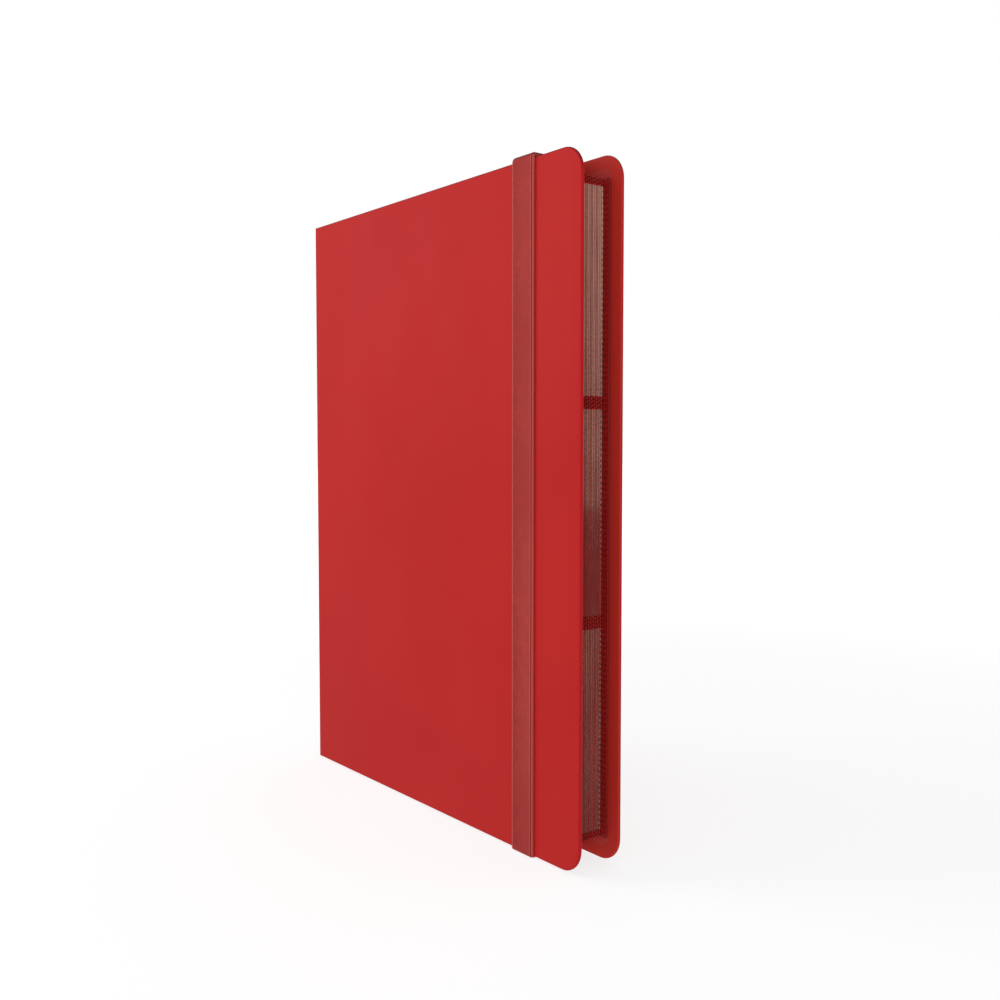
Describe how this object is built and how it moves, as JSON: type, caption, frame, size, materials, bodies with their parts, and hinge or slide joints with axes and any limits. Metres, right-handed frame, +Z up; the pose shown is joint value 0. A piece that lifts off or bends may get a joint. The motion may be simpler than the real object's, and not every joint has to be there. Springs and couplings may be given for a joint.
{
  "type": "trading card binder",
  "caption": "Slim book-like card album: two stiff covers and a spine, welded pocket leaves inside, a wide elastic strap round the fore-edge side",
  "frame": {"origin": "middle of the base that the closed binder stands on", "axes": "+Z up along the spine, +X from the spine to the fore-edge, -Y out of the front cover"},
  "size_m": [0.2398, 0.0286, 0.323],
  "materials": {
    "cover_skin": "smooth matte red wrapping with a soft sheen",
    "stiff_board": "grey board",
    "inner_lining": "matte dark red sheet",
    "binding_strip": "smooth dark red plastic",
    "page_sheet": "red sheet, welded in dotted lines",
    "pocket_film": "clear soft film with dotted welds",
    "strap_elastic": "ribbed woven elastic"
  },
  "bodies": {
    "back_cover": {"back_skin": "cover_skin", "back_board": "stiff_board", "back_lining": "inner_lining"},
    "spine": {"spine_skin": "cover_skin", "spine_board": "stiff_board", "spine_lining": "inner_lining", "back_crease": "cover_skin", "binding_strip": "binding_strip"},
    "front_cover": {"front_skin": "cover_skin", "front_board": "stiff_board", "front_lining": "inner_lining", "front_crease": "cover_skin"},
    "page_01": {"page_01_sheet": "page_sheet", "page_01_pockets": "pocket_film"},
    "page_02": {"page_02_sheet": "page_sheet", "page_02_pockets": "pocket_film"},
    "page_03": {"page_03_sheet": "page_sheet", "page_03_pockets": "pocket_film"},
    "page_04": {"page_04_sheet": "page_sheet", "page_04_pockets": "pocket_film"},
    "page_05": {"page_05_sheet": "page_sheet", "page_05_pockets": "pocket_film"},
    "page_06": {"page_06_sheet": "page_sheet", "page_06_pockets": "pocket_film"},
    "page_07": {"page_07_sheet": "page_sheet", "page_07_pockets": "pocket_film"},
    "page_08": {"page_08_sheet": "page_sheet", "page_08_pockets": "pocket_film"},
    "page_09": {"page_09_sheet": "page_sheet", "page_09_pockets": "pocket_film"},
    "page_10": {"page_10_sheet": "page_sheet", "page_10_pockets": "pocket_film"},
    "page_11": {"page_11_sheet": "page_sheet", "page_11_pockets": "pocket_film"},
    "page_12": {"page_12_sheet": "page_sheet", "page_12_pockets": "pocket_film"},
    "page_13": {"page_13_sheet": "page_sheet", "page_13_pockets": "pocket_film"},
    "page_14": {"page_14_sheet": "page_sheet", "page_14_pockets": "pocket_film"},
    "page_15": {"page_15_sheet": "page_sheet", "page_15_pockets": "pocket_film"},
    "page_16": {"page_16_sheet": "page_sheet", "page_16_pockets": "pocket_film"},
    "page_17": {"page_17_sheet": "page_sheet", "page_17_pockets": "pocket_film"},
    "page_18": {"page_18_sheet": "page_sheet", "page_18_pockets": "pocket_film"},
    "page_19": {"page_19_sheet": "page_sheet", "page_19_pockets": "pocket_film"},
    "page_20": {"page_20_sheet": "page_sheet", "page_20_pockets": "pocket_film"},
    "strap": {"elastic_strap": "strap_elastic"}
  },
  "joints": [
    {"name": "spine_fold", "type": "hinge", "parent": "back_cover", "child": "spine", "pos_m": [-0.11946, 0.01217, 0.16075], "axis": [0, 0, -1], "range_deg": [0, 90], "deforming": ["back_crease"]},
    {"name": "front_cover_fold", "type": "hinge", "parent": "spine", "child": "front_cover", "pos_m": [-0.11946, -0.01217, 0.16075], "axis": [0, 0, -1], "range_deg": [0, 90], "deforming": ["front_crease"]},
    {"name": "page_01_turn", "type": "hinge", "parent": "spine", "child": "page_01", "pos_m": [-0.11299, -0.01007, 0.16075], "axis": [0, 0, -1], "range_deg": [0, 70.01]},
    {"name": "page_02_turn", "type": "hinge", "parent": "spine", "child": "page_02", "pos_m": [-0.11299, -0.00901, 0.16075], "axis": [0, 0, -1], "range_deg": [0, 62.64]},
    {"name": "page_03_turn", "type": "hinge", "parent": "spine", "child": "page_03", "pos_m": [-0.11299, -0.00795, 0.16075], "axis": [0, 0, -1], "range_deg": [0, 55.27]},
    {"name": "page_04_turn", "type": "hinge", "parent": "spine", "child": "page_04", "pos_m": [-0.11299, -0.00689, 0.16075], "axis": [0, 0, -1], "range_deg": [0, 47.9]},
    {"name": "page_05_turn", "type": "hinge", "parent": "spine", "child": "page_05", "pos_m": [-0.11299, -0.00583, 0.16075], "axis": [0, 0, -1], "range_deg": [0, 40.54]},
    {"name": "page_06_turn", "type": "hinge", "parent": "spine", "child": "page_06", "pos_m": [-0.11299, -0.00477, 0.16075], "axis": [0, 0, -1], "range_deg": [0, 33.17]},
    {"name": "page_07_turn", "type": "hinge", "parent": "spine", "child": "page_07", "pos_m": [-0.11299, -0.00371, 0.16075], "axis": [0, 0, -1], "range_deg": [0, 25.8]},
    {"name": "page_08_turn", "type": "hinge", "parent": "spine", "child": "page_08", "pos_m": [-0.11299, -0.00265, 0.16075], "axis": [0, 0, -1], "range_deg": [0, 18.43]},
    {"name": "page_09_turn", "type": "hinge", "parent": "spine", "child": "page_09", "pos_m": [-0.11299, -0.00159, 0.16075], "axis": [0, 0, -1], "range_deg": [0, 11.06]},
    {"name": "page_10_turn", "type": "hinge", "parent": "spine", "child": "page_10", "pos_m": [-0.11299, -0.00053, 0.16075], "axis": [0, 0, -1], "range_deg": [0, 3.69]},
    {"name": "page_11_turn", "type": "hinge", "parent": "spine", "child": "page_11", "pos_m": [-0.11299, 0.00053, 0.16075], "axis": [0, 0, -1], "range_deg": [-3.69, 0]},
    {"name": "page_12_turn", "type": "hinge", "parent": "spine", "child": "page_12", "pos_m": [-0.11299, 0.00159, 0.16075], "axis": [0, 0, -1], "range_deg": [-11.06, 0]},
    {"name": "page_13_turn", "type": "hinge", "parent": "spine", "child": "page_13", "pos_m": [-0.11299, 0.00265, 0.16075], "axis": [0, 0, -1], "range_deg": [-18.43, 0]},
    {"name": "page_14_turn", "type": "hinge", "parent": "spine", "child": "page_14", "pos_m": [-0.11299, 0.00371, 0.16075], "axis": [0, 0, -1], "range_deg": [-25.8, 0]},
    {"name": "page_15_turn", "type": "hinge", "parent": "spine", "child": "page_15", "pos_m": [-0.11299, 0.00477, 0.16075], "axis": [0, 0, -1], "range_deg": [-33.17, 0]},
    {"name": "page_16_turn", "type": "hinge", "parent": "spine", "child": "page_16", "pos_m": [-0.11299, 0.00583, 0.16075], "axis": [0, 0, -1], "range_deg": [-40.54, 0]},
    {"name": "page_17_turn", "type": "hinge", "parent": "spine", "child": "page_17", "pos_m": [-0.11299, 0.00689, 0.16075], "axis": [0, 0, -1], "range_deg": [-47.9, 0]},
    {"name": "page_18_turn", "type": "hinge", "parent": "spine", "child": "page_18", "pos_m": [-0.11299, 0.00795, 0.16075], "axis": [0, 0, -1], "range_deg": [-55.27, 0]},
    {"name": "page_19_turn", "type": "hinge", "parent": "spine", "child": "page_19", "pos_m": [-0.11299, 0.00901, 0.16075], "axis": [0, 0, -1], "range_deg": [-62.64, 0]},
    {"name": "page_20_turn", "type": "hinge", "parent": "spine", "child": "page_20", "pos_m": [-0.11299, 0.01007, 0.16075], "axis": [0, 0, -1], "range_deg": [-70.01, 0]},
    {"name": "strap_release", "type": "hinge", "parent": "back_cover", "child": "strap", "pos_m": [0.08088, 0.0126, 0.16075], "axis": [0, 0, 1], "range_deg": [0, 180], "deforming": ["elastic_strap"]}
  ],
  "couplings": [
    {"joint": "spine_fold", "follows": "front_cover_fold", "ratio": 1},
    {"joint": "page_01_turn", "follows": "front_cover_fold", "ratio": 0.77778},
    {"joint": "page_02_turn", "follows": "front_cover_fold", "ratio": 0.69591},
    {"joint": "page_03_turn", "follows": "front_cover_fold", "ratio": 0.61404},
    {"joint": "page_04_turn", "follows": "front_cover_fold", "ratio": 0.53216},
    {"joint": "page_05_turn", "follows": "front_cover_fold", "ratio": 0.45029},
    {"joint": "page_06_turn", "follows": "front_cover_fold", "ratio": 0.36842},
    {"joint": "page_07_turn", "follows": "front_cover_fold", "ratio": 0.28655},
    {"joint": "page_08_turn", "follows": "front_cover_fold", "ratio": 0.20468},
    {"joint": "page_09_turn", "follows": "front_cover_fold", "ratio": 0.12281},
    {"joint": "page_10_turn", "follows": "front_cover_fold", "ratio": 0.04094},
    {"joint": "page_11_turn", "follows": "front_cover_fold", "ratio": -0.04094},
    {"joint": "page_12_turn", "follows": "front_cover_fold", "ratio": -0.12281},
    {"joint": "page_13_turn", "follows": "front_cover_fold", "ratio": -0.20468},
    {"joint": "page_14_turn", "follows": "front_cover_fold", "ratio": -0.28655},
    {"joint": "page_15_turn", "follows": "front_cover_fold", "ratio": -0.36842},
    {"joint": "page_16_turn", "follows": "front_cover_fold", "ratio": -0.45029},
    {"joint": "page_17_turn", "follows": "front_cover_fold", "ratio": -0.53216},
    {"joint": "page_18_turn", "follows": "front_cover_fold", "ratio": -0.61404},
    {"joint": "page_19_turn", "follows": "front_cover_fold", "ratio": -0.69591},
    {"joint": "page_20_turn", "follows": "front_cover_fold", "ratio": -0.77778},
    {"joint": "strap_release", "follows": "front_cover_fold", "ratio": 2}
  ]
}
